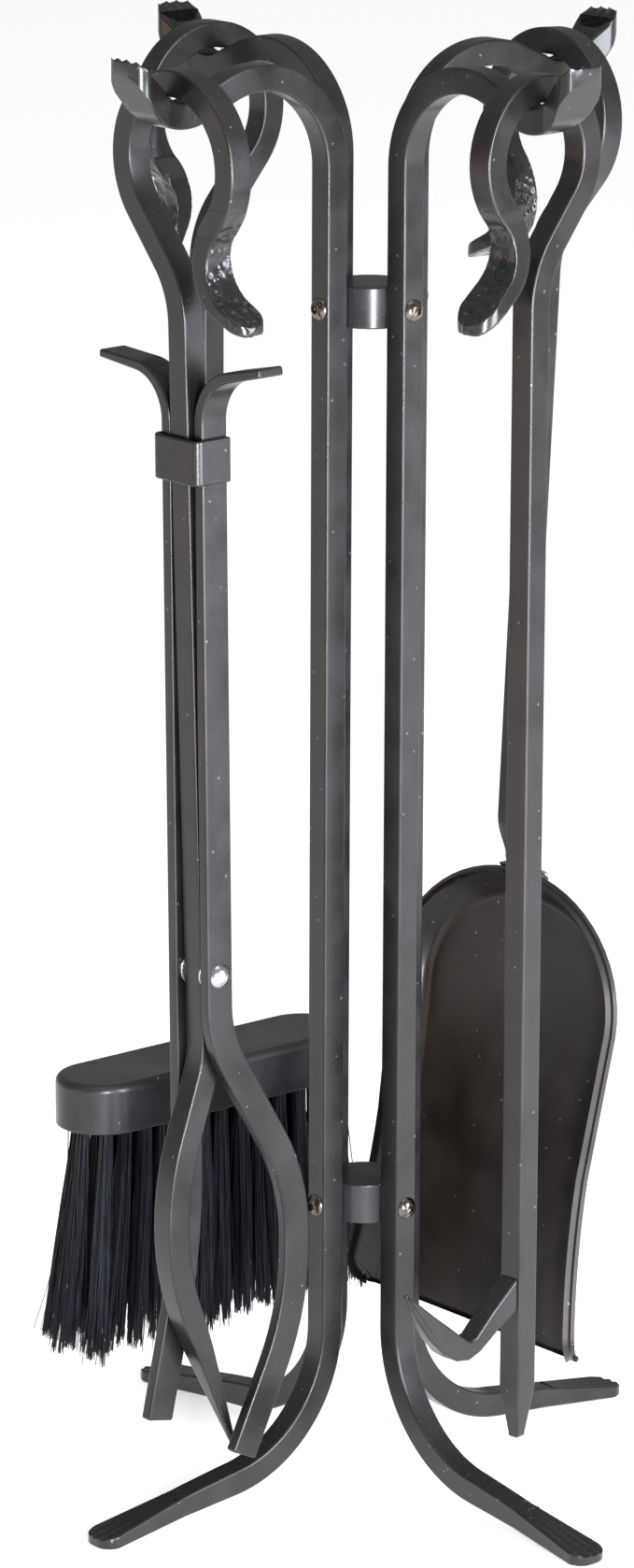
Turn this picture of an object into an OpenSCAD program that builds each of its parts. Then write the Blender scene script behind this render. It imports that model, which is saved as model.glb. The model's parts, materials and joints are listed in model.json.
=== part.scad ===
// Fireplace tool set: a four-legged stand with tongs, a poker, a shovel and a brush.
// Everything is forged from one size of square bar. Each tool ends in a crook, a closed
// loop with a hammered leaf, and hangs by it in the hook at the top of one leg.
// The origin is on the floor, on the stand's axis. Leg 0 stands front left, and the
// others follow anticlockwise. On a leg, X is outward, Y is across and Z is up.

/* [Bar] */
// Side of the square bar
bar = 12.7; // [12:0.1:13.2]

/* [Stand] */
// Radius of the two hubs that the legs are bolted to
hub_r = 19.05; // [18:0.05:20]
// Height of a hub
hub_h = 20; // [16:1:24]
// Height of the middle of the upper hub
hub_upper_z = 590; // [560:1:600]
// Height of the middle of the lower hub
hub_lower_z = 144; // [135:1:180]
// Distance from the axis to the end of a foot
foot_reach = 171; // [165:1:180]
// Height of the centre of the arch at the top of a leg
arch_z = 657.5; // [640:0.5:670]
// Distance from the axis to the middle of a hook's valley
hook_r = 117; // [115:0.5:119]

/* [Tools] */
// Free space between a crook and the hook that it hangs in
hang_gap = 0.5; // [0.4:0.1:1]
// Angle that the tongs hang at, foot inward
tongs_lean = 1.7; // [1:0.1:2]
// Angle that the shovel hangs at, foot inward
shovel_lean = 3; // [2.5:0.1:3]
// Angle that the poker is turned by about its hook
poker_yaw = 6; // [0:1:8]
// Length of the brush head
brush_len = 178; // [170:1:195]
// Width of the brush head
brush_w = 47; // [40:1:50]
// Length of the shovel's pan
pan_len = 231.6; // [220:0.2:235]
// Thickness of the pan's sheet steel, measured across a sloping wall's top edge
pan_wall = 2; // [1.6:0.1:2.4]

/* [Fasteners] */
// Radius of a screw's shank
screw_r = 3; // [2.5:0.1:3]
// Radius of a screw's button head
screw_head_r = 5.45; // [5:0.05:5.5]
// Radius of the tongs' rivet
rivet_r = 4; // [3.5:0.1:4]
// Running clearance between a pin and its hole
fit = 0.05; // [0.03:0.01:0.08]

/* [Hidden] */
$fn = 64;

half = bar / 2;
black = [0.17, 0.17, 0.18];
bright = [0.72, 0.72, 0.74];

// Legs, by number: tongs 0, poker 1, shovel 2, brush 3
leg_azimuth = [225, 315, 45, 135];
leg_r = hub_r + half;

// Foot: a bend, then a flattened bar that slopes down to a levelled tip
foot_bend_r = 68;
foot_slope = 5.5;
foot_flat = 8;
foot_tip_h = 6.5;
foot_w = 20;
foot_corner = 8;
foot_bend_x = leg_r + foot_bend_r;
foot_run = foot_reach - foot_flat - foot_bend_x + (foot_bend_r + half) * sin(foot_slope);
foot_bend_z = foot_run * tan(foot_slope) + (foot_bend_r + half) * cos(foot_slope);

// Top of a leg: an arch, a straight run, then the hook's valley and its flared tip
arch_r = 46;
valley_r = 24;
valley_rise = 56.5;
valley_turn = 71.5;
hook_tip_len = 25.5;
hook_tip_h = 5.5;
hook_tip_w = 24.5;
hook_tip_corner = 9;
valley_z = arch_z + valley_rise;
arch_to_valley = [hook_r - leg_r - arch_r, valley_rise];
arch_tangent = atan2(arch_to_valley[1], arch_to_valley[0])
    + acos((arch_r + valley_r) / norm(arch_to_valley));
tangent_len = sqrt(pow(norm(arch_to_valley), 2) - pow(arch_r + valley_r, 2));

// Where the tools hang: on the edges of the valley, under the crook's corners
hang_z = valley_z - sqrt(pow(valley_r - half, 2) - half * half) + hang_gap;

// Crook, walked from the shaft: a neck, the loop, then the leaf
neck_bend_r = 45;
neck_turn = 40;
loop_turn = 264;
leaf_bend_r = 24;
leaf_h = 5.4;

// Tongs, which hang a little to one side of their hook's middle
tongs_y = 1.5;
rivet_drop = 420;
arm_lean = 0.93;
arm_w = 15.4;
arm_t = 6.35;
washer_t = 1;
arm_y = half + washer_t;
strap_z = 251;
strap_h = 21.5;
strap_t = 2.8;
strap_x = 11.1;
strap_corner = 4.5;
far_arm_x = 2.5;

// Shovel: the tang at the end of its shaft, then the pan in its own frame
tang_drop = 377.8;
tang_taper = 22;
tang_t = 4.5;
tang_bend_r = 8;
tang_end = 11;
tang_half_w = 13.5;
tang_corner = 5;
pan_tilt = 10.2;
pan_half_w = 81;
pan_shoulder = 66;
pan_waist = 76.5;
pan_waist_y = 140;
pan_flare_r = 441;
pan_depth = 15;
pan_splay = 11.6;
pan_wall_angle = atan2(pan_depth, pan_splay);
pan_rivet_x = 9.5;
pan_rivet_y = 6;
pan_rivet_r = 2;
tang_turn = pan_wall_angle - pan_tilt + shovel_lean;
// The pan's rim starts under the end of the tang's bend
pan_top = [
    half - tang_t / 2 + tang_bend_r * (1 - cos(tang_turn)) - (tang_t / 2 + 0.1) * cos(tang_turn),
    -tang_drop - tang_taper - tang_bend_r * sin(tang_turn) - (tang_t / 2 + 0.1) * sin(tang_turn)
];

// Brush
brush_top_z = 191.5;
brush_base_z = 166;
bristle_end_z = 45;
brush_y = 5;
head_y = 6;

// A step of a path is [length, 0] for a straight run or [radius, turn] for an arc,
// and a turn to the left is positive. A place on a path is [x, y, heading].
function step_end(p, s) = s[1] == 0
    ? [p[0] + s[0] * cos(p[2]), p[1] + s[0] * sin(p[2]), p[2]]
    : let (r = sign(s[1]) * s[0], h = p[2] + s[1])
      [p[0] + r * (sin(h) - sin(p[2])), p[1] - r * (cos(h) - cos(p[2])), h];
function step_part(s, f) = s[1] == 0 ? [s[0] * f, 0] : [s[0], s[1] * f];
function step_points(p, s) =
    let (n = s[1] == 0 ? 1 : ceil(abs(s[1]) / 4))
    [for (i = [1:n]) step_end(p, step_part(s, i / n))];
function walk(p, steps, i = 0) = i == len(steps)
    ? [p]
    : let (points = step_points(p, steps[i]), last = len(points) - 1)
      concat([p], [for (j = [0:1:last - 1]) points[j]], walk(points[last], steps, i + 1));
function walk_end(p, steps) = let (path = walk(p, steps)) path[len(path) - 1];

// Distance of each place along a path
function gap(path, i) = norm([path[i][0] - path[i - 1][0], path[i][1] - path[i - 1][1]]);
function distances(path) =
    [for (i = 0, s = 0; i < len(path); i = i + 1, s = s + (i < len(path) ? gap(path, i) : 0)) s];

// Value that goes from a at distance s0 to b at distance s1, and stays level outside
function ramp(s, s0, s1, a, b) = a + (b - a) * max(0, min(1, (s - s0) / (s1 - s0)));

// Outline of a bar along a path, with its own half thickness on each side
function beside(p, d) = [p[0] - d * sin(p[2]), p[1] + d * cos(p[2])];
function bar_outline(path, left, right) = concat(
    [for (i = [0:len(path) - 1]) beside(path[i], left[i])],
    [for (i = [len(path) - 1:-1:0]) beside(path[i], -right[i])]);
function even(path, d) = [for (p = path) d];

function arc_points(c, r, a0, a1, n = 16) =
    [for (i = [0:n]) let (a = a0 + (a1 - a0) * i / n) [c[0] + r * cos(a), c[1] + r * sin(a)]];

// Bars drawn in the upright plane through a leg, and across it
module upright(width) {
    rotate([90, 0, 0])
        linear_extrude(width, center = true)
            children();
}

module across(width) {
    rotate([90, 0, 90])
        linear_extrude(width, center = true)
            children();
}

module on_leg(k) {
    rotate([0, 0, leg_azimuth[k]])
        children();
}

// Frame of a hanging tool: the origin is where it hangs and Z runs up its shaft
module hanging(k, lean = 0, yaw = 0) {
    on_leg(k)
        translate([hook_r, 0, hang_z])
            rotate([0, lean, yaw])
                children();
}

// Parallel grooves along X, cut into the top of what lies below the origin
module flutes(len, r, depth, pitch, fan, dip) {
    for (i = [-1:1])
        translate([0, i * pitch, 0])
            rotate([0, dip, i * fan])
                translate([-len, 0, r - depth])
                    rotate([0, 90, 0])
                        cylinder(h = len + 12, r = r);
}

// ---- Stand ----

foot_steps = [[foot_run / cos(foot_slope), 0], [foot_bend_r, -(90 - foot_slope)]];
hook_steps = [
    [arch_z - foot_bend_z, 0],
    [arch_r, -(180 - arch_tangent)],
    [tangent_len, 0],
    [valley_r, valley_turn],
    [hook_tip_len, 0]
];
foot_start = [
    foot_bend_x - (foot_bend_r * sin(foot_slope)) + foot_run,
    foot_bend_z - foot_bend_r * cos(foot_slope) - foot_run * tan(foot_slope),
    180 - foot_slope
];
foot_tail = foot_flat + 4;
leg_start = step_end(foot_start, [-foot_tail, 0]);
leg_steps = concat([[foot_tail, 0], [52, 0]],
    [[foot_run / cos(foot_slope) - 52, 0]], [foot_steps[1]], hook_steps);
leg_path = walk(leg_start, leg_steps);
leg_s = distances(leg_path);
leg_len = leg_s[len(leg_s) - 1];
leg_tip = leg_path[len(leg_path) - 1];

// Full width outline of a bar from the axis, flared from x0 to a rounded end, seen from above
function flared_plan(x0, end, width, corner) = concat(
    [[0, -half], [x0, -half]],
    arc_points([end - corner, corner - width / 2], corner, -90, 0, 6),
    arc_points([end - corner, width / 2 - corner], corner, 0, 90, 6),
    [[x0, half], [0, half]]);

module leg_profile() {
    left = [for (s = leg_s) ramp(s, leg_len - hook_tip_len, leg_len, half, hook_tip_h / 2)];
    right = [for (s = leg_s)
        s < foot_tail + 60
            ? ramp(s, 0, foot_tail + 52, foot_tip_h - half - 1, half - 1.6)
              + ramp(s, foot_tail + 52, foot_tail + 60, 0, 1.6)
            : ramp(s, leg_len - hook_tip_len, leg_len, half, hook_tip_h / 2)];
    polygon(bar_outline(leg_path, left, right));
}

module leg(k) {
    on_leg(k)
        difference() {
            intersection() {
                upright(foot_w + 4)
                    leg_profile();
                union() {
                    linear_extrude(arch_z)
                        polygon(flared_plan(foot_reach - 52, foot_reach, foot_w, foot_corner));
                    translate([0, 0, arch_z])
                        linear_extrude(100)
                            polygon(flared_plan(hook_r + 10, leg_tip[0] - 0.5, hook_tip_w, hook_tip_corner));
                }
            }
            translate([foot_reach, 0, foot_tip_h])
                rotate([0, 9, 0])
                    flutes(48, 3.2, 2.1, 5.2, 2, 2.4);
            translate([leg_tip[0], 0, leg_tip[1]])
                rotate([0, -leg_tip[2] + 11, 0])
                    translate([0, 0, hook_tip_h / 2])
                        flutes(24, 3.6, 1.8, 6.2, 3, 4);
            for (z = [hub_lower_z, hub_upper_z])
                translate([leg_r, 0, z])
                    rotate([0, 90, 0])
                        cylinder(h = 2 * bar, r = screw_r + fit, center = true);
        }
}

module hub(z) {
    color(black)
        difference() {
            translate([0, 0, z - hub_h / 2])
                cylinder(h = hub_h, r = hub_r);
            for (k = [0:3])
                on_leg(k)
                    translate([hub_r - 12, 0, z])
                        rotate([0, 90, 0])
                            cylinder(h = 20, r = screw_r + fit);
        }
}

// Button-head socket screws through the legs into a hub
module hub_bolts(z) {
    color(bright)
        for (k = [0:3])
            on_leg(k)
                translate([leg_r + half, 0, z])
                    rotate([0, 90, 0])
                        difference() {
                            union() {
                                translate([0, 0, -bar - 11])
                                    cylinder(h = bar + 12, r = screw_r);
                                intersection() {
                                    cylinder(h = 3.3, r = screw_head_r);
                                    translate([0, 0, -3.2])
                                        sphere(r = 6.5);
                                }
                            }
                            translate([0, 0, 1.2])
                                cylinder(h = 5, r = 2.3, $fn = 6);
                        }
}

// ---- Crook ----

// Middle of the loop, seen from the top of the straight shaft
function loop_from_shaft(loop_r, neck) =
    let (p = walk_end([0, 0, 90], [[neck_bend_r, neck_turn], [neck, 0]]))
    [p[0] + loop_r * sin(p[2]), p[1] - loop_r * cos(p[2])];

// Height of the middle of the loop in a hanging tool's frame
function loop_z(loop_r, shift) = -sqrt(pow(loop_r - half, 2) - pow(half + abs(shift), 2));

// Crook and straight shaft down to a depth below the hanging point. The tool may hang
// a shift to the side of its hook's middle, and its leaf turns out by its own angle.
module crook(loop_r, neck, depth, leaf_w, shift = 0, leaf_turn = 109, leaf_run = 19) {
    middle = loop_from_shaft(loop_r, neck);
    top_z = loop_z(loop_r, middle[0] + shift) - middle[1];
    start = [0, -depth, 90];
    steps = [[top_z + depth, 0], [neck_bend_r, neck_turn], [neck, 0], [loop_r, -loop_turn]];
    leaf_steps = [[leaf_bend_r, leaf_turn], [leaf_run, 0]];
    bar_path = walk(start, steps);
    leaf_start = walk_end(start, steps);
    leaf_path = walk(leaf_start, leaf_steps);
    leaf_s = distances(leaf_path);
    leaf_len = leaf_s[len(leaf_s) - 1];
    leaf_end = leaf_path[len(leaf_path) - 1];
    leaf_half = [for (s = leaf_s) ramp(s, 0, leaf_len, half, leaf_h / 2)];
    across(bar)
        polygon(bar_outline(bar_path, even(bar_path, half), even(bar_path, half)));
    intersection() {
        across(leaf_w + 4)
            polygon(bar_outline(leaf_path, leaf_half, leaf_half));
        upright(200)
            polygon([
                [-half, leaf_start[1] + 20], [-half, leaf_start[1] - 4],
                [-leaf_w / 2, leaf_end[1] + 8], [-leaf_w / 2, leaf_end[1] - 20],
                [leaf_w / 2, leaf_end[1] - 20], [leaf_w / 2, leaf_end[1] + 8],
                [half, leaf_start[1] - 4], [half, leaf_start[1] + 20]
            ]);
        translate([0, 0, leaf_end[1] - 30])
            linear_extrude(100)
                union() {
                    translate([-leaf_w, 0])
                        square([2 * leaf_w, leaf_end[0] - leaf_w / 2]);
                    translate([0, leaf_end[0] - leaf_w / 2])
                        circle(r = leaf_w / 2);
                }
    }
}

// ---- Tongs ----

module tongs_frame() {
    hanging(0, tongs_lean)
        translate([0, tongs_y, -rivet_drop])
            children();
}

module arms_frame() {
    tongs_frame()
        rotate([0, -arm_lean, 0])
            children();
}

// Middle jaw: sweeps outward, back and inward to a point
module middle_jaw() {
    steps = [[33, 0], [60, 20.7], [30, 0], [130, -19], [130, -22], [79, 0]];
    path = walk([0, 0, -90], steps);
    s = distances(path);
    end = s[len(s) - 1];
    taper = [for (d = s) ramp(d, end - 62, end, half, 1.1)];
    tip = path[len(path) - 1];
    intersection() {
        upright(bar)
            polygon(bar_outline(path, taper, taper));
        across(400)
            polygon([
                [-half, 10], [-half, tip[1] + 58], [-1.2, tip[1] - 2],
                [1.2, tip[1] - 2], [half, tip[1] + 58], [half, 10]
            ]);
    }
}

module tongs_shaft() {
    color(black)
        difference() {
            union() {
                hanging(0, tongs_lean)
                    translate([0, tongs_y, 0])
                        crook(37.5, 29, rivet_drop, 19.5, tongs_y);
                tongs_frame()
                    middle_jaw();
            }
            tongs_frame()
                rotate([90, 0, 0])
                    cylinder(h = 2 * bar, r = rivet_r + fit, center = true);
        }
}

// Flat arm beside the shaft: side is 1 for the near arm and -1 for the far one, which
// stands a little further out. Its top bends away from the shaft into a thumb tab.
module tongs_arm(side, x, jaw_steps, tab_rise, tab_bend, tab_run, tab_end) {
    path = walk([x, 20, -90], concat([[20, 0]], jaw_steps));
    tab_path = walk([side * (arm_y + arm_t / 2), 10, 90],
        [[tab_rise, 0], tab_bend, [tab_run, 0]]);
    tab_s = distances(tab_path);
    tab_len = tab_s[len(tab_s) - 1];
    tab_half = [for (d = tab_s) ramp(d, tab_rise, tab_len, arm_t / 2, tab_end / 2)];
    color(black)
        arms_frame()
            difference() {
                union() {
                    translate([0, side * (arm_y + arm_t / 2), 0])
                        upright(arm_t)
                            polygon(bar_outline(path, even(path, arm_w / 2), even(path, arm_w / 2)));
                    translate([x, 0, 0])
                        across(arm_w)
                            polygon(bar_outline(tab_path, tab_half, tab_half));
                }
                rotate([90, 0, 0])
                    cylinder(h = 4 * bar, r = rivet_r + fit / 2, center = true);
            }
}

module tongs_arm_near() {
    tongs_arm(1, 0, [[16, 0], [60, -30.2], [50, 0], [100, 31], [8, 0], [130, 26], [46, 0]],
        258, [26, -77], 25, 4.4);
}

module tongs_arm_far() {
    tongs_arm(-1, far_arm_x, [[103, 0], [300, 13.2], [56, 0]], 257, [24, 86], 27, 4);
}

// Collar around the front of the shaft, welded to both arms
module tongs_strap() {
    outer = arm_y + arm_t + strap_t;
    corner_x = strap_x + strap_t - strap_corner;
    color(black)
        arms_frame()
            translate([0, 0, strap_z - strap_h / 2])
                difference() {
                    linear_extrude(strap_h)
                        polygon(concat(
                            [[-arm_w / 2, -outer]],
                            arc_points([corner_x, strap_corner - outer], strap_corner, -90, 0, 6),
                            arc_points([corner_x, outer - strap_corner], strap_corner, 0, 90, 6),
                            [[-arm_w / 2, outer]]));
                    translate([-bar, strap_t - outer, -1])
                        cube([bar + strap_x, 2 * (outer - strap_t), strap_h + 2]);
                }
}

module tongs_rivet() {
    grip = arm_y + arm_t;
    color(bright)
        arms_frame()
            rotate([-90, 0, 0]) {
                translate([0, 0, -grip - 1])
                    cylinder(h = 2 * grip + 2, r = rivet_r);
                for (turn = [0, 180])
                    rotate([turn, 0, 0])
                        translate([0, 0, grip])
                            intersection() {
                                cylinder(h = 4, r = 6);
                                translate([0, 0, -3.5])
                                    sphere(r = 7);
                            }
            }
}

module tongs_washers() {
    color(bright)
        arms_frame()
            for (turn = [-90, 90])
                rotate([turn, 0, 0])
                    difference() {
                        translate([0, 0, half + fit])
                            cylinder(h = washer_t - fit, r = 7.75);
                        cylinder(h = 20, r = rivet_r + fit);
                    }
}

// ---- Poker ----

poker_y = -3;
poker_drop = 619;
poker_point = 29;
poker_tip_r = 3.2;

module poker_frame() {
    hanging(1, 0, poker_yaw)
        translate([0, poker_y, 0])
            children();
}

// Square bar drawn down to a blunt point
module spear() {
    outline = concat(
        [[-half, 0], [-half, -2]],
        arc_points([0, poker_tip_r - poker_point], poker_tip_r, 195, 345, 12),
        [[half, -2], [half, 0]]);
    intersection() {
        across(bar)
            polygon(outline);
        upright(bar)
            polygon(outline);
    }
}

module poker_shaft() {
    color(black)
        poker_frame() {
            mirror([0, 1, 0])
                crook(32.65, 25.6, poker_drop, 23, -poker_y, 95, 27);
            translate([0, 0, -poker_drop])
                spear();
        }
}

// Curved spur, welded to the side of the shaft
module poker_hook() {
    color(black)
        poker_frame()
            intersection() {
                across(bar)
                    polygon([
                        [-half, -564], [-24, -577], [-35, -586.5], [-39.5, -587.5], [-46, -583],
                        [-62, -570], [-80, -554.5], [-80.8, -556], [-73, -570], [-66, -580.5],
                        [-57, -590], [-48, -595.5], [-40, -597], [-32, -594.5], [-18, -586], [-half, -580]
                    ]);
                translate([0, 0, -700])
                    linear_extrude(200)
                        polygon([
                            [-5.5, -half], [-5.5, -50], [-1, -82], [1, -82], [5.5, -50], [5.5, -half]
                        ]);
            }
}

// ---- Shovel ----

module shovel_frame() {
    hanging(2, shovel_lean)
        children();
}

// Frame of the pan: X across, Y down along the rim plane, Z out to the floor
module pan_frame() {
    shovel_frame()
        translate([pan_top[0], 0, pan_top[1]])
            rotate([0, pan_tilt - shovel_lean, 0])
                rotate([-90, 0, -90])
                    children();
}

// Frame of the pan's sloping top wall: Y runs down it and Z points out of it
module pan_top_wall() {
    pan_frame()
        rotate([pan_wall_angle, 0, 0])
            children();
}

// Half of the pan's outline, drawn in from the rim by a margin, from the top to the lip
function pan_side(inset, lip) = concat(
    [for (a = [0:6:90]) [(pan_half_w - inset) * sin(a), pan_shoulder - (pan_shoulder - inset) * cos(a)]],
    [for (i = [0:10])
        let (y = pan_waist_y + (lip - pan_waist_y) * i / 10, d = y - pan_waist_y)
        [pan_waist - inset + pan_flare_r - sqrt(pan_flare_r * pan_flare_r - d * d), y]]);
function mirrored(points) = [for (i = [len(points) - 1:-1:1]) [-points[i][0], points[i][1]]];
function pan_outline(inset, lip) = let (p = pan_side(inset, lip)) concat(mirrored(p), p);

// Solid between two outlines with the same number of points, one above the other
module loft(low, high, z0, z1) {
    n = len(low);
    polyhedron(
        points = concat([for (p = low) [p[0], p[1], z0]], [for (p = high) [p[0], p[1], z1]]),
        faces = concat(
            [[for (i = [0:n - 1]) i]],
            [[for (i = [n - 1:-1:0]) n + i]],
            [for (i = [0:n - 1]) [i, n + i, (i + 1) % n]],
            [for (i = [0:n - 1]) [(i + 1) % n, n + i, n + (i + 1) % n]]));
}

module pan_shell() {
    floor_t = pan_wall * 0.8;
    slope = pan_splay / pan_depth;
    difference() {
        loft(pan_outline(0, pan_len), pan_outline(pan_splay, pan_len), 0, pan_depth);
        loft(
            pan_outline(pan_wall - slope, pan_len + 20),
            pan_outline(pan_wall + slope * (pan_depth - floor_t), pan_len + 20),
            -1, pan_depth - floor_t);
    }
}

// The sheet metal pan, with the ends of its side walls rounded off at the lip
module shovel_pan() {
    color(black)
        difference() {
            pan_frame()
                intersection() {
                    pan_shell();
                    rotate([90, 0, 90])
                        linear_extrude(220, center = true)
                            polygon(concat(
                                [[-10, -2]],
                                arc_points([pan_len - 14, 14], 14, -90, 0),
                                [[pan_len, 20], [-10, 20]]));
                }
            pan_rivet_holes();
        }
}

module pan_rivet_holes() {
    pan_top_wall()
        for (x = [-pan_rivet_x, pan_rivet_x])
            translate([x, pan_rivet_y, -4])
                cylinder(h = 9, r = pan_rivet_r + fit);
}

// Flattened end of the shaft, bent along the pan's top wall and fanned out into two ears
module tang() {
    cuts = 6;
    path = walk([half - tang_t / 2, -tang_drop, -90], concat(
        [for (i = [1:cuts]) [tang_taper / cuts, 0]],
        [[tang_bend_r, tang_turn], [tang_end, 0]]));
    s = distances(path);
    inner = [for (d = s) let (f = ramp(d, 0, tang_taper + tang_bend_r * 0.75, 0, 180))
        tang_t / 2 + (bar - tang_t) * (1 + cos(f)) / 2];
    low = path[len(path) - 1][1];
    corner = [tang_half_w - tang_corner, low + tang_corner + 1];
    intersection() {
        upright(60)
            polygon(bar_outline(path, even(path, tang_t / 2), inner));
        across(60)
            polygon(concat(
                [[-half, 2 - tang_drop], [-half, low + 10]],
                arc_points([-corner[0], corner[1]], tang_corner, 150, 270, 6),
                arc_points(corner, tang_corner, 270, 390, 6),
                [[half, low + 10], [half, 2 - tang_drop]]));
    }
}

module shovel_handle() {
    color(black)
        difference() {
            shovel_frame() {
                crook(37.5, 29, tang_drop, 19.5);
                tang();
            }
            pan_rivet_holes();
        }
}

// Domed rivets through the tang and the top wall
module shovel_rivets() {
    outside = tang_t + 0.1;
    color(bright)
        pan_top_wall()
            for (x = [-pan_rivet_x, pan_rivet_x])
                translate([x, pan_rivet_y, 0]) {
                    translate([0, 0, -pan_wall])
                        cylinder(h = outside + pan_wall + 1, r = pan_rivet_r);
                    translate([0, 0, outside])
                        intersection() {
                            cylinder(h = 3, r = 3.6);
                            translate([0, 0, -2.4])
                                sphere(r = 4.6);
                        }
                }
}

// ---- Brush ----

module brush_frame() {
    on_leg(3)
        translate([hook_r + 1.5, head_y, 0])
            children();
}

// Long block with round ends, from an outline of [distance from its middle line, height]
module round_ended(len, width, outline) {
    run = (len - width) / 2;
    rotate([90, 0, 0])
        linear_extrude(2 * run, center = true)
            polygon(concat(outline, [for (i = [len(outline) - 1:-1:0]) [-outline[i][0], outline[i][1]]]));
    for (side = [-1, 1])
        translate([0, side * run, 0])
            rotate_extrude()
                polygon(concat([[0, outline[0][1]]], outline, [[0, outline[len(outline) - 1][1]]]));
}

module brush_handle() {
    color(black)
        hanging(3)
            translate([0, brush_y, 0])
                crook(37.5, 29, hang_z - brush_top_z + 10, 19.5, brush_y, 70);
}

module brush_head() {
    fillet = 4;
    outline = concat(
        [[brush_w / 2, brush_base_z]],
        arc_points([brush_w / 2 - fillet, brush_top_z - fillet], fillet, 0, 90, 8));
    color(black)
        difference() {
            brush_frame()
                round_ended(brush_len, brush_w, outline);
            hanging(3)
                translate([0, brush_y, brush_top_z - hang_z])
                    cube([bar + 2 * fit, bar + 2 * fit, 20], center = true);
        }
}

module brush_bristles() {
    top_half = brush_len / 2 - 5;
    end_half = brush_len / 2 + 8;
    color([0.1, 0.1, 0.13])
        brush_frame()
            intersection() {
                across(brush_w + 20)
                    polygon([
                        [-top_half, brush_base_z], [-end_half, bristle_end_z],
                        [end_half, bristle_end_z], [top_half, brush_base_z]
                    ]);
                upright(2 * end_half + 10)
                    polygon([
                        [-19, brush_base_z], [-22, bristle_end_z],
                        [26, bristle_end_z], [20, brush_base_z]
                    ]);
            }
}

color(black) leg(0);  // leg_front_left
color(black) leg(1);  // leg_front_right
color(black) leg(2);  // leg_back_right
color(black) leg(3);  // leg_back_left
hub(hub_upper_z);  // hub_upper
hub(hub_lower_z);  // hub_lower
hub_bolts(hub_upper_z);  // bolts_upper
hub_bolts(hub_lower_z);  // bolts_lower
tongs_shaft();
tongs_arm_near();
tongs_arm_far();
tongs_strap();
tongs_rivet();
tongs_washers();
poker_shaft();
poker_hook();
shovel_handle();
shovel_pan();
shovel_rivets();
brush_handle();
brush_head();
brush_bristles();
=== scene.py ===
import math
import random

import bpy
import numpy as np
from mathutils import Matrix, Vector
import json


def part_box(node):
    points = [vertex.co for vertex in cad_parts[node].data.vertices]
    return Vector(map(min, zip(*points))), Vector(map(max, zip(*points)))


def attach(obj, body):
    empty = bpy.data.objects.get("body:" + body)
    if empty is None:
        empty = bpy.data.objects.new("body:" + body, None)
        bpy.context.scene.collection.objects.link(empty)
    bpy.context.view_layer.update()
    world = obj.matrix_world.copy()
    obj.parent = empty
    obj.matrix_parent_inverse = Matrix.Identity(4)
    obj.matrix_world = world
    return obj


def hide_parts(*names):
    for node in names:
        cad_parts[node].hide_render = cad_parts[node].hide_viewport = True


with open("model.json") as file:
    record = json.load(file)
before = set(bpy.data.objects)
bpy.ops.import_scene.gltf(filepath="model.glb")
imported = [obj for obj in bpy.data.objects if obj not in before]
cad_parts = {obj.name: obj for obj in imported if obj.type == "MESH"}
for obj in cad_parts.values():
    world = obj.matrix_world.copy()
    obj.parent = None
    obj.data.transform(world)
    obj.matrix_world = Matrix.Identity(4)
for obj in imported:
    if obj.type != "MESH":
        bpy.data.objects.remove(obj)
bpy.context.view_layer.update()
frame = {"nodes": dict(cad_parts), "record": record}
nodes = frame["nodes"]
MM = 0.001

# ---- Sizes, in metres ----

EDGE = 1.25 * MM  # how far a forged bar's edges are rounded
STRAP_EDGE = EDGE * 0.8
HUB_EDGE = 0.9 * MM
BLOCK_EDGE = 0.8 * MM
FITTING_EDGE = 0.2 * MM  # screws, rivets and washers
RIM_EDGE = 0.7 * MM  # the pan's cut edge
PAN_CORNER = 3.2 * MM  # where the pan's walls meet its floor
SHORTEST = 0.85 * MM  # edges shorter than this belong to a groove's end
SAME_PLACE = 0.01 * MM  # corners closer than this are one corner
SPIKE = 0.6  # a corner that stands off a bar by more than this much of its rounding is a spike

# Angles between faces, in degrees
SAME_FACE = 0.6
BAR_CORNER = 72
RIM_CORNER = 70
FITTING_CORNER = 28
WALL_CORNER = 38
CREASE = 42

HANG = {"tongs": 225, "poker": 315, "shovel": 45, "brush": 135}  # azimuth of each tool's leg
HOOK_R = 117 * MM

record = frame["record"]
body_of = {node: body for body, names in record["behaviour"]["bodies"].items() for node in names}


def select_only(*objects):
    bpy.ops.object.select_all(action="DESELECT")
    for o in objects:
        o.select_set(True)
    bpy.context.view_layer.objects.active = objects[0]


def apply_modifiers(o):
    select_only(o)
    for name in [m.name for m in o.modifiers]:
        bpy.ops.object.modifier_apply(modifier=name)


# ---- Materials ----


def linear(hex_code):
    """An sRGB hex colour as linear RGBA."""
    parts = [int(hex_code[i : i + 2], 16) / 255 for i in (1, 3, 5)]
    return [c / 12.92 if c <= 0.04045 else ((c + 0.055) / 1.055) ** 2.4 for c in parts] + [1.0]


def add(tree, kind, inputs, **settings):
    """A node with its settings, whose inputs are values or other nodes' outputs."""
    made = tree.nodes.new(kind)
    for name, value in settings.items():
        setattr(made, name, value)
    for name, value in inputs.items():
        if isinstance(value, bpy.types.NodeSocket):
            tree.links.new(value, made.inputs[name])
        else:
            made.inputs[name].default_value = value
    return made


def new_material(name):
    material = bpy.data.materials.new(name)
    material.use_nodes = True
    material.node_tree.nodes.clear()
    return material, material.node_tree


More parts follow.
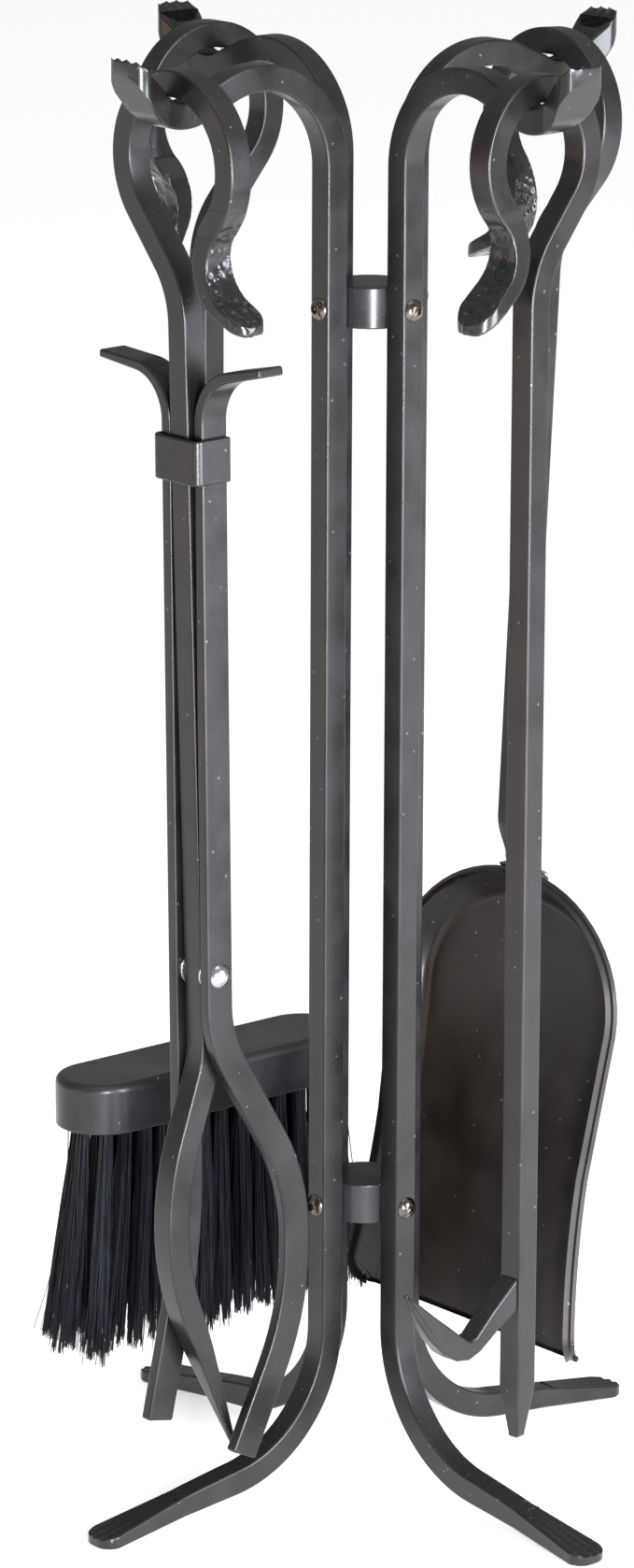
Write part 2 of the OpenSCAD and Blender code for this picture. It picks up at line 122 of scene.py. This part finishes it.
def powder_coat(name, dark, light, roughness=0.34, nibs_and_glint=0.28, top_grit_and_shade=1.0):
    """Satin powder coat over steel: an even graphite grey with a faint orange peel and
    cloudy patches where it flowed. Faces that looked up in the oven took a coarser, duller grain,
    and their colour is darker, a painted shade. Each small nib of dust stands up, and its light
    grey is a painted highlight."""
    material, tree = new_material(name)
    place = add(tree, "ShaderNodeTexCoord", {})
    where = place.outputs["Object"]
    cloud = add(tree, "ShaderNodeTexNoise", {
        "Vector": where, "Scale": 1 / (26 * MM), "Detail": 4.0})
    patch = add(tree, "ShaderNodeMapRange", {
        "Value": cloud.outputs["Fac"], "From Min": 0.35, "From Max": 0.65})
    peel = add(tree, "ShaderNodeTexNoise", {
        "Vector": where, "Scale": 1 / (1.4 * MM), "Detail": 2.0})
    # The grain on top is about 1 mm across, drawn a little coarser so that it shows
    grain = add(tree, "ShaderNodeTexNoise", {
        "Vector": where, "Scale": 1 / (1.1 * MM), "Detail": 3.0, "Roughness": 0.7})
    side = add(tree, "ShaderNodeSeparateXYZ", {"Vector": place.outputs["Normal"]})
    # Faces that look up: coarser grain and duller roughness are real, and their darker colour is
    # painted shade
    upward = add(tree, "ShaderNodeMapRange", {
        "Value": side.outputs["Z"], "From Min": 0.35, "From Max": 0.8, "To Max": top_grit_and_shade},
        interpolation_type="SMOOTHSTEP")
    dust = add(tree, "ShaderNodeTexVoronoi", {
        "Vector": where, "Scale": 1 / (9 * MM), "Randomness": 1.0})
    # The nib bumps are real; the light grey laid over them is a painted highlight
    nibs_and_painted_glint = add(tree, "ShaderNodeMapRange", {
        "Value": dust.outputs["Distance"],
        "From Min": 0.055, "From Max": 0.085, "To Min": nibs_and_glint, "To Max": 0.0})
    cloudy = add(tree, "ShaderNodeMix", {
        "Factor": patch.outputs["Result"], "A": linear(dark), "B": linear(light)}, data_type="RGBA")
    speckle = add(tree, "ShaderNodeMapRange", {
        "Value": grain.outputs["Fac"], "From Min": 0.55, "From Max": 0.75})
    # The colour for faces that look up: speckled grain over near black, a painted shade
    grain_and_painted_shade = add(tree, "ShaderNodeMix", {
        "Factor": speckle.outputs["Result"], "A": linear("#0b0b0b"), "B": linear("#3c3a39")},
        data_type="RGBA")
    topped = add(tree, "ShaderNodeMix", {
        "Factor": upward.outputs["Result"], "A": cloudy.outputs["Result"],
        "B": grain_and_painted_shade.outputs["Result"]}, data_type="RGBA")
    # Light grey mixed in over each nib: a painted highlight
    painted_glint_mix = add(tree, "ShaderNodeMix", {
        "Factor": nibs_and_painted_glint.outputs["Result"], "A": topped.outputs["Result"], "B": linear("#9a9ca0")},
        data_type="RGBA")
    satin = add(tree, "ShaderNodeMapRange", {
        "Value": patch.outputs["Result"], "To Min": roughness - 0.05, "To Max": roughness + 0.07})
    dull = add(tree, "ShaderNodeMapRange", {
        "Value": upward.outputs["Result"], "To Min": 0.0, "To Max": 0.38})
    rough = add(tree, "ShaderNodeMath", {
        0: satin.outputs["Result"], 1: dull.outputs["Result"]}, operation="ADD")
    fine = add(tree, "ShaderNodeMath", {
        0: nibs_and_painted_glint.outputs["Result"], 1: 3.0, 2: peel.outputs["Fac"]}, operation="MULTIPLY_ADD")
    lumps = add(tree, "ShaderNodeMath", {
        0: grain.outputs["Fac"], 1: upward.outputs["Result"]}, operation="MULTIPLY")
    height = add(tree, "ShaderNodeMath", {
        0: lumps.outputs["Value"], 1: 3.0, 2: fine.outputs["Value"]}, operation="MULTIPLY_ADD")
    bump = add(tree, "ShaderNodeBump", {
        "Height": height.outputs["Value"], "Strength": 0.12, "Distance": 0.4 * MM})
    coat = add(tree, "ShaderNodeBsdfPrincipled", {
        "Base Color": painted_glint_mix.outputs["Result"], "Roughness": rough.outputs["Value"],
        "Metallic": 0.3, "Normal": bump.outputs["Normal"], "Coat Weight": 0.2,
        "Coat Roughness": 0.2})
    add(tree, "ShaderNodeOutputMaterial", {"Surface": coat.outputs["BSDF"]})
    return material


def plated_steel(name, dark, light, roughness):
    """Plated steel, bright where it faces a light, with fine turning marks."""
    material, tree = new_material(name)
    place = add(tree, "ShaderNodeTexCoord", {}).outputs["Object"]
    marks = add(tree, "ShaderNodeTexNoise", {
        "Vector": place, "Scale": 1 / (0.8 * MM), "Detail": 3.0})
    colour = add(tree, "ShaderNodeMix", {
        "Factor": marks.outputs["Fac"], "A": linear(dark), "B": linear(light)}, data_type="RGBA")
    bump = add(tree, "ShaderNodeBump", {
        "Height": marks.outputs["Fac"], "Strength": 0.12, "Distance": 0.1 * MM})
    plate = add(tree, "ShaderNodeBsdfPrincipled", {
        "Base Color": colour.outputs["Result"], "Roughness": roughness, "Metallic": 1.0,
        "Normal": bump.outputs["Normal"]})
    add(tree, "ShaderNodeOutputMaterial", {"Surface": plate.outputs["BSDF"]})
    return material


def extruded_filament():
    """Polypropylene filament, extruded black with a blue cast and a dull gloss along its length."""
    material, tree = new_material("extruded black filament")
    place = add(tree, "ShaderNodeTexCoord", {}).outputs["Object"]
    along = add(tree, "ShaderNodeMapping", {"Vector": place, "Scale": (1.0, 1.0, 0.04)})
    strand = add(tree, "ShaderNodeTexNoise", {
        "Vector": along.outputs["Vector"], "Scale": 1 / (1.6 * MM), "Detail": 2.0})
    shade_of = add(tree, "ShaderNodeMapRange", {
        "Value": strand.outputs["Fac"], "From Min": 0.4, "From Max": 0.62})
    colour = add(tree, "ShaderNodeMix", {
        "Factor": shade_of.outputs["Result"], "A": linear("#050609"), "B": linear("#1d2029")},
        data_type="RGBA")
    plastic = add(tree, "ShaderNodeBsdfPrincipled", {
        "Base Color": colour.outputs["Result"], "Roughness": 0.36, "Specular IOR Level": 0.35})
    add(tree, "ShaderNodeOutputMaterial", {"Surface": plastic.outputs["BSDF"]})
    return material


BAR_COAT = powder_coat("satin powder coat on forged bar", "#171515", "#211f1f", 0.29)
HUB_COAT = powder_coat("powder coat on turned steel", "#242426", "#303033", 0.27)
LEAF_COAT = powder_coat("powder coat on hammered steel", "#1b1a1a", "#272626", 0.21, 0.2, 0.3)
PAN_COAT = powder_coat("powder coat on sheet steel", "#231f1d", "#2e2a28", 0.40, 0.5, 0.6)
BLOCK_COAT = powder_coat("satin coat on the brush block", "#1b1b1c", "#262628", 0.32, 0.3, 0.5)
SCREW = plated_steel("dark nickel plate", "#4f4a46", "#857d76", 0.18)
RIVET = plated_steel("bright zinc plate", "#a0a1a3", "#c9cacd", 0.24)
FIBRE = extruded_filament()


def dress(o, material):
    o.data.materials.clear()
    o.data.materials.append(material)


def shade(o):
    for face in o.data.polygons:
        face.use_smooth = True


def stand_for(piece, node):
    """The piece rides where its CAD node does, and hides it."""
    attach(piece, body_of[node])
    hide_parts(node)


# ---- CAD bars and sheet: whole faces and soft edges ----


def merged_copy(node, name):
    """A copy of a CAD node with its triangles joined and its flat faces made whole."""
    copy = nodes[node].copy()
    copy.data = nodes[node].data.copy()
    copy.name = name
    for key in [k for k in copy.keys() if k.startswith("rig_")]:
        del copy[key]
    copy.parent = None
    bpy.context.scene.collection.objects.link(copy)
    copy.modifiers.clear()
    select_only(copy)
    bpy.ops.object.mode_set(mode="EDIT")
    bpy.ops.mesh.select_all(action="SELECT")
    bpy.ops.mesh.remove_doubles(threshold=SAME_PLACE)
    bpy.ops.mesh.dissolve_limited(angle_limit=math.radians(SAME_FACE))
    bpy.ops.object.mode_set(mode="OBJECT")
    return copy


def round_edges(o, sharper_than, width, segments=3, shortest=0.0):
    """Bevels the edges that are sharper than an angle in degrees and not shorter than a length."""
    select_only(o)
    bpy.ops.object.mode_set(mode="EDIT")
    bpy.ops.mesh.select_mode(type="EDGE")
    bpy.ops.mesh.select_all(action="DESELECT")
    bpy.ops.mesh.edges_select_sharp(sharpness=math.radians(sharper_than))
    bpy.ops.object.mode_set(mode="OBJECT")
    corners = o.data.vertices
    for edge in o.data.edges:
        a, b = edge.vertices
        if (corners[a].co - corners[b].co).length < shortest:
            edge.select = False
    bpy.ops.object.mode_set(mode="EDIT")
    bpy.ops.mesh.bevel(offset=width, segments=segments, affect="EDGES", clamp_overlap=False)
    bpy.ops.object.mode_set(mode="OBJECT")


def draw_back_spikes(o, node, reach):
    """Rounding can throw a spike where short edges meet. Its corners go back to the bar."""
    for corner in o.data.vertices:
        found, place, _, _ = nodes[node].closest_point_on_mesh(corner.co)
        if found and (place - corner.co).length > reach:
            corner.co = place


def shade_crisp(o):
    """Smooth shading that keeps flat faces flat and leaves sharp creases sharp."""
    shade(o)
    select_only(o)
    bpy.ops.object.mode_set(mode="EDIT")
    bpy.ops.mesh.select_all(action="DESELECT")
    bpy.ops.mesh.edges_select_sharp(sharpness=math.radians(CREASE))
    bpy.ops.mesh.mark_sharp()
    bpy.ops.object.mode_set(mode="OBJECT")
    weighted = o.modifiers.new("flat faces stay flat", "WEIGHTED_NORMAL")
    weighted.keep_sharp = True
    apply_modifiers(o)


def forged_copy(node, name, width=EDGE):
    copy = merged_copy(node, name)
    round_edges(copy, BAR_CORNER, width, shortest=SHORTEST)
    draw_back_spikes(copy, node, SPIKE * width)
    shade_crisp(copy)
    return copy


FORGED = ["leg_front_left", "leg_front_right", "leg_back_right", "leg_back_left",
          "tongs_arm_near", "tongs_arm_far", "tongs_strap", "poker_hook"]
for name in FORGED:
    piece = forged_copy(name, name + "_forged", STRAP_EDGE if name == "tongs_strap" else EDGE)
    dress(piece, BAR_COAT)
    stand_for(piece, name)

for name in ("hub_upper", "hub_lower"):
    piece = forged_copy(name, name + "_turned", HUB_EDGE)
    dress(piece, HUB_COAT)
    stand_for(piece, name)

block = forged_copy("brush_head", "brush_block", BLOCK_EDGE)
dress(block, BLOCK_COAT)
stand_for(block, "brush_head")

# The small turned pieces keep their CAD shape, with the least of an edge
FITTINGS = {"bolts_upper": SCREW, "bolts_lower": SCREW,
            "tongs_rivet": RIVET, "tongs_washers": RIVET, "shovel_rivets": RIVET}
for name, material in FITTINGS.items():
    dress(nodes[name], material)
    shade(nodes[name])
    join = nodes[name].modifiers.new("join", "WELD")
    join.merge_threshold = SAME_PLACE
    bevel = nodes[name].modifiers.new("round edges", "BEVEL")
    bevel.width = FITTING_EDGE
    bevel.segments = 2
    bevel.angle_limit = math.radians(FITTING_CORNER)
    bevel.harden_normals = True

# The pan is pressed: its walls run into its floor in a round corner
pan = merged_copy("shovel_pan", "pressed_pan")
round_edges(pan, RIM_CORNER, RIM_EDGE, 3)
round_edges(pan, WALL_CORNER, PAN_CORNER, 5)
shade_crisp(pan)
dress(pan, PAN_COAT)
stand_for(pan, "shovel_pan")

# ---- Handles: the CAD bar with a hammered leaf ----

LEAF_INNER = 7.4 * MM  # the leaf lies between these distances from the hook's middle
LEAF_OUTER = 75 * MM
LEAF_DEPTH = 60 * MM
LEAF_DROP = 80 * MM  # from the leaf's top to below its end
LEAF_OVERLAP = 3 * MM  # how far it reaches up into the bar
SKIN = 0.5 * MM
WEAR_PASSES = 22
BLOWS = 190
BLOW_FADE = 14 * MM  # the blows grow over this length below the top
TUCK = 0.12 * MM
TUCK_RUN = 0.8 * MM


def leg_frame(azimuth):
    """Frame of a leg: X outward, Y across, Z up."""
    return Matrix.Rotation(math.radians(azimuth), 4, "Z")


def leaf_box(azimuth, yaw, shift, side, low_z, high_z):
    """A cutter that holds the leaf and nothing else of the crook, in the tool's own frame."""
    bpy.ops.mesh.primitive_cube_add(size=1)
    cutter = bpy.context.object
    cutter.scale = (LEAF_DEPTH, LEAF_OUTER - LEAF_INNER, high_z - low_z)
    across = Vector((0, shift + side * (LEAF_INNER + LEAF_OUTER) / 2, (low_z + high_z) / 2))
    hook = leg_frame(azimuth) @ Vector((HOOK_R, 0, 0))
    cutter.location = hook + leg_frame(azimuth + yaw) @ across
    cutter.rotation_euler = (0, 0, math.radians(azimuth + yaw))
    return cutter


def cut(o, cutter, operation):
    boolean = o.modifiers.new("cut", "BOOLEAN")
    boolean.object = cutter
    boolean.operation = operation
    boolean.solver = "MANIFOLD"
    apply_modifiers(o)


def hammer(leaf, azimuth, top_z, seed):
    """Remeshes the leaf finely and beats dents into its broad faces, fading out at the top."""
    voxels = leaf.modifiers.new("fine skin", "REMESH")
    voxels.mode = "VOXEL"
    voxels.voxel_size = SKIN
    worn = leaf.modifiers.new("soft rim", "SMOOTH")
    worn.factor = 0.5
    worn.iterations = WEAR_PASSES
    apply_modifiers(leaf)
    rng = random.Random(seed)
    count = len(leaf.data.vertices)
    points = np.zeros(count * 3)
    normals = np.zeros(count * 3)
    leaf.data.vertices.foreach_get("co", points)
    leaf.data.vertices.foreach_get("normal", normals)
    points = points.reshape(-1, 3)
    normals = normals.reshape(-1, 3)
    outward = np.array(leg_frame(azimuth) @ Vector((1, 0, 0)))
    broad = np.clip(1 - 1.4 * np.abs(normals @ outward), 0, 1)
    fade = np.clip((top_z - points[:, 2]) / BLOW_FADE, 0, 1)
    depth = np.zeros(count)
    for _ in range(BLOWS):
        hit = points[rng.randrange(count)]
        radius = rng.uniform(1.8, 4.2) * MM
        near = np.linalg.norm(points - hit, axis=1) / radius
        blow = rng.uniform(0.45, 1.05) * MM * np.clip(1 - near**2, 0, 1) ** 1.5
        depth = np.maximum(depth, blow) + 0.15 * np.minimum(depth, blow)
    # The top slips inside the bar, which hides where the two meet
    inside = TUCK * np.clip((points[:, 2] - top_z) / TUCK_RUN + 1, 0, 1)
    points -= normals * (depth * fade * broad + inside)[:, None]
    leaf.data.vertices.foreach_set("co", points.ravel())
    leaf.data.update()
    shade(leaf)


def handle(node, tool, yaw, shift, side, top_z, seed):
    """A tool's bar without its leaf, and the leaf hammered as a piece of its own."""
    low_z = top_z - LEAF_DROP
    bar = forged_copy(node, node + "_forged")
    cutter = leaf_box(HANG[tool], yaw, shift, side, low_z, top_z)
    cut(bar, cutter, "DIFFERENCE")
    bpy.data.objects.remove(cutter)
    leaf = merged_copy(node, tool + "_leaf")
    cutter = leaf_box(HANG[tool], yaw, shift, side, low_z, top_z + LEAF_OVERLAP)
    cut(leaf, cutter, "INTERSECT")
    bpy.data.objects.remove(cutter)
    hammer(leaf, HANG[tool], top_z, seed)
    dress(bar, BAR_COAT)
    dress(leaf, LEAF_COAT)
    stand_for(bar, node)
    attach(leaf, tool)


handle("tongs_shaft", "tongs", 0, 1.5 * MM, 1, 650 * MM, 3)
handle("shovel_handle", "shovel", 0, 0, 1, 650 * MM, 5)
handle("brush_handle", "brush", 0, 5 * MM, 1, 650 * MM, 7)
handle("poker_shaft", "poker", 6, -3 * MM, -1, 652 * MM, 9)

# ---- Brush: tufts of filament ----

BRISTLE_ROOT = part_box("brush_head")[0].z
BRISTLE_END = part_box("brush_bristles")[0].z
HEAD_SHIFT = 6 * MM
HEAD_R = HOOK_R + 1.5 * MM
HEAD_LEN = 178 * MM
HEAD_W = 47 * MM
TUFT_R = 3.2 * MM
TUFT_PITCH = 12.5 * MM
ROW_PITCH = 10 * MM
ROWS = 4
FILAMENTS = 84
CLUMPS = 5
SIDES = 3
RINGS = 6
SPLAY_OUT = 1.22  # how much wider the brush is at its end than at its block
SPLAY_ACROSS = 1.15
LEAN = 2 * MM
LOOSE_SHARE = 0.16  # filaments that stray from their clump
SHORT_SHARE = 0.08  # filaments that broke off early


def filament_ring():
    """Points round a filament, read from a thin prism."""
    bpy.ops.mesh.primitive_cylinder_add(vertices=SIDES, radius=1, depth=1, end_fill_type="NOTHING")
    rod = bpy.context.object
    points = [(v.co.x, v.co.y) for v in rod.data.vertices if v.co.z > 0]
    bpy.data.objects.remove(rod)
    return points


def add_filament(points, faces, ring, root, tip, bow, bulge, radius):
    """Adds a filament that leaves its hole straight, swells outward and ends at its tip."""
    first = len(points)
    turn = leg_frame(HANG["brush"])
    for k in range(RINGS):
        f = k / (RINGS - 1)
        centre = root.lerp(tip, f)
        bend = f**bow - f
        centre.x += (tip.x - root.x) * bend + bulge.x * math.sin(math.pi * f)
        centre.y += (tip.y - root.y) * bend + bulge.y * math.sin(math.pi * f)
        thick = radius * (1 - 0.4 * f)
        for x, y in ring:
            out = centre.x + x * thick + HEAD_R
            across = centre.y + y * thick + HEAD_SHIFT
            points.append(turn @ Vector((out, across, centre.z)))
    for k in range(RINGS - 1):
        for s in range(SIDES):
            a = first + k * SIDES + s
            b = first + k * SIDES + (s + 1) % SIDES
            faces.append((a, a + SIDES, b + SIDES, b))
    end = first + (RINGS - 1) * SIDES
    faces.append(tuple(end + s for s in reversed(range(SIDES))))


def tuft(points, faces, ring, rng, x, y):
    """One tuft, whose filaments draw together into a few ragged points."""
    middle_x = x * SPLAY_OUT + LEAN + rng.gauss(0, 1.4) * MM
    middle_y = y * SPLAY_ACROSS + rng.gauss(0, 2.2) * MM
    middle = Vector((middle_x, middle_y, 0))
    drop = rng.gauss(0, 2.0) * MM
    ends = []
    for c in range(CLUMPS):
        a = 2 * math.pi * (c + rng.uniform(-0.3, 0.3)) / CLUMPS
        reach = rng.uniform(2.2, 5.6) * MM
        low = BRISTLE_END + (3 + abs(rng.gauss(0, 3.2))) * MM + drop
        end = Vector((middle.x + reach * math.cos(a), middle.y + reach * math.sin(a), low))
        ends.append((a, end))
    for _ in range(FILAMENTS):
        a, point = rng.choice(ends)
        here = a + rng.uniform(-0.9, 0.9)
        d = TUFT_R * math.sqrt(rng.random())
        root = Vector((x + d * math.cos(here), y + d * math.sin(here), BRISTLE_ROOT + 1 * MM))
        loose = 2.6 if rng.random() < LOOSE_SHARE else 0.8
        stray = Vector((rng.gauss(0, loose), rng.gauss(0, loose), abs(rng.gauss(0, 2.2))))
        tip = point + stray * MM
        if rng.random() < SHORT_SHARE:
            tip.z += rng.uniform(5, 22) * MM
        out = rng.uniform(0.2, 1.6) * MM
        bulge = Vector((out * math.cos(here), out * math.sin(here), 0))
        radius = rng.uniform(0.26, 0.38) * MM
        add_filament(points, faces, ring, root, tip, rng.uniform(0.9, 1.6), bulge, radius)


def bristles():
    rng = random.Random(11)
    ring = filament_ring()
    points, faces = [], []
    run = (HEAD_LEN - HEAD_W) / 2
    reach = HEAD_W / 2 - TUFT_R - 1 * MM
    for row in range(ROWS):
        x = (row - (ROWS - 1) / 2) * ROW_PITCH
        for column in range(-8, 9):
            y = (column + 0.5 * (row % 2)) * TUFT_PITCH
            past_run = max(abs(y) - run, 0)
            if math.hypot(x, past_run) < reach:
                tuft(points, faces, ring, rng, x, y)
    # One long filament has sprung out at the end of the block
    root = Vector((0.004, run + HEAD_W / 2 - 5 * MM, BRISTLE_ROOT + 1 * MM))
    tip = root + Vector((0.004, 0.020, -0.104))
    add_filament(points, faces, ring, root, tip, 2.2, Vector((0, 0, 0)), 0.32 * MM)
    mesh = bpy.data.meshes.new("brush_tufts")
    mesh.from_pydata(points, [], faces)
    tufted = bpy.data.objects.new("brush_tufts", mesh)
    bpy.context.scene.collection.objects.link(tufted)
    shade(tufted)
    return tufted


tufts = bristles()
dress(tufts, FIBRE)
stand_for(tufts, "brush_bristles")

# ---- Stage, lights and camera ----


def area_light(name, place, target, size, power, colour):
    lamp_data = bpy.data.lights.new(name, "AREA")
    lamp_data.shape = "RECTANGLE"
    lamp_data.size, lamp_data.size_y = size
    lamp_data.energy = power
    lamp_data.color = linear(colour)[:3]
    lamp = bpy.data.objects.new(name, lamp_data)
    lamp.location = place
    lamp.rotation_euler = (Vector(target) - Vector(place)).to_track_quat("-Z", "Y").to_euler()
    lamp.visible_camera = False
    bpy.context.scene.collection.objects.link(lamp)


bpy.ops.mesh.primitive_plane_add(size=40)
floor = bpy.context.object
floor.name = "studio_floor"
paper, paper_tree = new_material("white studio paper")
sheet = add(paper_tree, "ShaderNodeBsdfPrincipled", {
    "Base Color": linear("#fbfbfb"), "Roughness": 0.9, "Specular IOR Level": 0.1,
    "Emission Color": linear("#ffffff"), "Emission Strength": 0.5})
add(paper_tree, "ShaderNodeOutputMaterial", {"Surface": sheet.outputs["BSDF"]})
dress(floor, paper)

world = bpy.data.worlds.new("studio")
bpy.context.scene.world = world
world.use_nodes = True
world.node_tree.nodes["Background"].inputs["Color"].default_value = linear("#ffffff")
world.node_tree.nodes["Background"].inputs["Strength"].default_value = 0.45
bpy.context.scene.view_settings.view_transform = "Standard"

MIDDLE = (0, 0, 0.36)
area_light("right window", (1.9, -1.2, 0.7), MIDDLE, (1.0, 1.6), 118, "#eef3ff")
area_light("front strip", (0.5, -1.9, 0.42), MIDDLE, (0.22, 0.7), 52, "#f6f9ff")
area_light("left bounce", (-2.2, -1.2, 0.6), MIDDLE, (0.7, 1.4), 7, "#ffb070")
area_light("overhead", (0.2, -0.4, 2.8), MIDDLE, (1.5, 1.5), 14, "#ffffff")

# The camera stands a little to the left of the stand's front and looks down at it
CAMERA_TURN = 4.2407
CAMERA_PLACE = Vector((0, -2.8338, 1.09009))
CAMERA_YAW = -0.008571
CAMERA_PITCH = 0.2545988
CAMERA_ROLL = 0.0040094
CAMERA_LENS = 138.3

lens_data = bpy.data.cameras.new("camera")
lens_data.sensor_fit = "VERTICAL"
lens_data.sensor_height = 36
lens_data.lens = CAMERA_LENS
lens_data.clip_end = 100
camera = bpy.data.objects.new("camera", lens_data)
bpy.context.scene.collection.objects.link(camera)
yaw = CAMERA_YAW
pitch = CAMERA_PITCH
roll = CAMERA_ROLL
forward = Vector((
    math.sin(yaw) * math.cos(pitch), math.cos(yaw) * math.cos(pitch), -math.sin(pitch)))
level = Vector((math.cos(yaw), -math.sin(yaw), 0))
above = Vector((
    math.sin(yaw) * math.sin(pitch), math.cos(yaw) * math.sin(pitch), math.cos(pitch)))
right = level * math.cos(roll) + above * math.sin(roll)
up = above * math.cos(roll) - level * math.sin(roll)
aim = Matrix((right, up, -forward)).transposed().to_4x4()
around = Matrix.Rotation(math.radians(CAMERA_TURN), 4, "Z")
camera.matrix_world = around @ Matrix.Translation(CAMERA_PLACE) @ aim
bpy.context.scene.camera = camera
